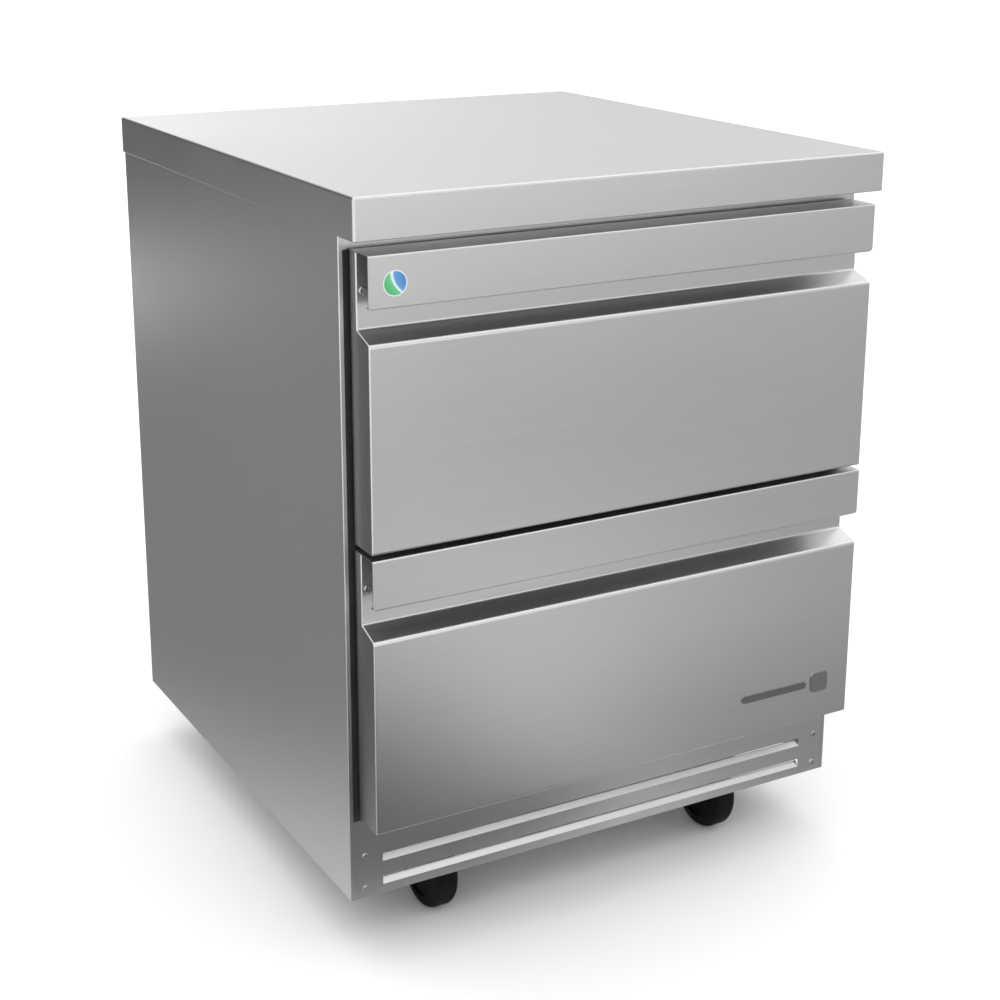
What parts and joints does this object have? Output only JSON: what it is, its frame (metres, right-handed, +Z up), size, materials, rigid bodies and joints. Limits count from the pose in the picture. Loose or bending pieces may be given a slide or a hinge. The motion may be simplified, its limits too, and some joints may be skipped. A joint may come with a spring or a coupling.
{
  "type": "under counter fridge",
  "caption": "Stainless undercounter refrigerator with a flat worktop, two full-width insulated drawers, a louvred skirt and swivel casters.",
  "frame": {"origin": "middle of the footprint on the floor, under the centre of the bounding box", "axes": "+Z up, -Y out of the drawer fronts, +X to the right seen from the front"},
  "size_m": [0.698, 0.745, 0.906],
  "materials": {
    "brushed_stainless": "brushed",
    "galvanised": "satin",
    "slide_steel": "satin",
    "bright_steel": "polished",
    "black_frame": "matte",
    "white_plastic": "matte",
    "dark_plastic": "matte",
    "gasket_rubber": "matte",
    "wheel_rubber": "matte",
    "mount_rubber": "matte",
    "foam": "matte",
    "black_enamel": "gloss",
    "fin_aluminium": "satin",
    "copper": "satin",
    "badge_metal": "satin",
    "sticker_print": "gloss"
  },
  "bodies": {
    "cabinet": {"back_panel": "galvanised", "base_chassis": "galvanised", "caster_bolts": "bright_steel", "caster_plates": "galvanised", "compressor": "black_enamel", "compressor_mounts": "mount_rubber", "condensate_pan": "galvanised", "condenser_coil": "fin_aluminium", "condenser_fan_motor": "dark_plastic", "copper_lines": "copper", "evaporator_coil": "fin_aluminium", "evaporator_cover": "brushed_stainless", "evaporator_fan_motor": "dark_plastic", "face_frame": "black_frame", "inner_liner": "brushed_stainless", "insulation_foam": "foam", "junction_box": "galvanised", "louvre_panel": "brushed_stainless", "louvre_screws": "bright_steel", "lower_slide_cabinet_members": "slide_steel", "side_panel_left": "brushed_stainless", "side_panel_right": "brushed_stainless", "thermostat": "white_plastic", "upper_slide_cabinet_members": "slide_steel", "worktop": "brushed_stainless"},
    "upper_drawer": {"upper_drawer_back": "brushed_stainless", "upper_drawer_cage": "brushed_stainless", "upper_drawer_foam": "foam", "upper_drawer_front": "brushed_stainless", "upper_drawer_gasket": "gasket_rubber", "upper_drawer_screws": "bright_steel", "upper_slide_drawer_members": "slide_steel", "round_sticker": "sticker_print"},
    "lower_drawer": {"lower_drawer_back": "brushed_stainless", "lower_drawer_cage": "brushed_stainless", "lower_drawer_foam": "foam", "lower_drawer_front": "brushed_stainless", "lower_drawer_gasket": "gasket_rubber", "lower_drawer_screws": "bright_steel", "lower_slide_drawer_members": "slide_steel", "badge": "badge_metal"},
    "upper_slide_middle": {"upper_slide_middle_members": "slide_steel"},
    "lower_slide_middle": {"lower_slide_middle_members": "slide_steel"},
    "condenser_fan": {"condenser_fan": "dark_plastic"},
    "evaporator_fan": {"evaporator_fan": "dark_plastic"},
    "thermostat_knob": {"thermostat_knob": "dark_plastic"},
    "fork_front_left": {"caster_fork_front_left": "galvanised", "caster_axle_front_left": "bright_steel"},
    "wheel_front_left": {"caster_wheel_front_left": "wheel_rubber"},
    "brake_front_left": {"brake_lever_front_left": "galvanised"},
    "fork_front_right": {"caster_fork_front_right": "galvanised", "caster_axle_front_right": "bright_steel"},
    "wheel_front_right": {"caster_wheel_front_right": "wheel_rubber"},
    "brake_front_right": {"brake_lever_front_right": "galvanised"},
    "fork_rear_left": {"caster_fork_rear_left": "galvanised", "caster_axle_rear_left": "bright_steel"},
    "wheel_rear_left": {"caster_wheel_rear_left": "wheel_rubber"},
    "fork_rear_right": {"caster_fork_rear_right": "galvanised", "caster_axle_rear_right": "bright_steel"},
    "wheel_rear_right": {"caster_wheel_rear_right": "wheel_rubber"}
  },
  "joints": [
    {"name": "upper_drawer_slide", "type": "slide", "parent": "cabinet", "child": "upper_drawer", "axis": [0, -1, 0], "range_m": [0, 0.44]},
    {"name": "upper_middle_slide", "type": "slide", "parent": "cabinet", "child": "upper_slide_middle", "axis": [0, -1, 0], "range_m": [0, 0.22]},
    {"name": "lower_drawer_slide", "type": "slide", "parent": "cabinet", "child": "lower_drawer", "axis": [0, -1, 0], "range_m": [0, 0.34]},
    {"name": "lower_middle_slide", "type": "slide", "parent": "cabinet", "child": "lower_slide_middle", "axis": [0, -1, 0], "range_m": [0, 0.17]},
    {"name": "swivel_front_left", "type": "hinge", "parent": "cabinet", "child": "fork_front_left", "pos_m": [-0.2065, -0.214, 0.108], "axis": [0, 0, 1], "continuous": true},
    {"name": "roll_front_left", "type": "hinge", "parent": "fork_front_left", "child": "wheel_front_left", "pos_m": [-0.2065, -0.249, 0.0508], "axis": [1, 0, 0], "continuous": true},
    {"name": "brake_front_left", "type": "hinge", "parent": "fork_front_left", "child": "brake_front_left", "pos_m": [-0.2065, -0.279, 0.1], "axis": [1, 0, 0], "range_deg": [0, 16]},
    {"name": "swivel_front_right", "type": "hinge", "parent": "cabinet", "child": "fork_front_right", "pos_m": [0.2065, -0.214, 0.108], "axis": [0, 0, 1], "continuous": true},
    {"name": "roll_front_right", "type": "hinge", "parent": "fork_front_right", "child": "wheel_front_right", "pos_m": [0.2065, -0.249, 0.0508], "axis": [1, 0, 0], "continuous": true},
    {"name": "brake_front_right", "type": "hinge", "parent": "fork_front_right", "child": "brake_front_right", "pos_m": [0.2065, -0.279, 0.1], "axis": [1, 0, 0], "range_deg": [0, 16]},
    {"name": "swivel_rear_left", "type": "hinge", "parent": "cabinet", "child": "fork_rear_left", "pos_m": [-0.2065, 0.26, 0.108], "axis": [0, 0, 1], "continuous": true},
    {"name": "roll_rear_left", "type": "hinge", "parent": "fork_rear_left", "child": "wheel_rear_left", "pos_m": [-0.2065, 0.225, 0.0508], "axis": [1, 0, 0], "continuous": true},
    {"name": "swivel_rear_right", "type": "hinge", "parent": "cabinet", "child": "fork_rear_right", "pos_m": [0.2065, 0.26, 0.108], "axis": [0, 0, 1], "continuous": true},
    {"name": "roll_rear_right", "type": "hinge", "parent": "fork_rear_right", "child": "wheel_rear_right", "pos_m": [0.2065, 0.225, 0.0508], "axis": [1, 0, 0], "continuous": true},
    {"name": "condenser_fan_spin", "type": "hinge", "parent": "cabinet", "child": "condenser_fan", "pos_m": [0, -0.24, 0.127], "axis": [0, 1, 0], "continuous": true},
    {"name": "evaporator_fan_spin", "type": "hinge", "parent": "cabinet", "child": "evaporator_fan", "pos_m": [0, 0.22, 0.7], "axis": [0, 1, 0], "continuous": true},
    {"name": "thermostat_turn", "type": "hinge", "parent": "cabinet", "child": "thermostat_knob", "pos_m": [0.18, 0.206, 0.62], "axis": [0, 1, 0], "range_deg": [0, 270]}
  ],
  "couplings": [
    {"joint": "upper_middle_slide", "follows": "upper_drawer_slide", "ratio": 0.5},
    {"joint": "lower_middle_slide", "follows": "lower_drawer_slide", "ratio": 0.5}
  ]
}
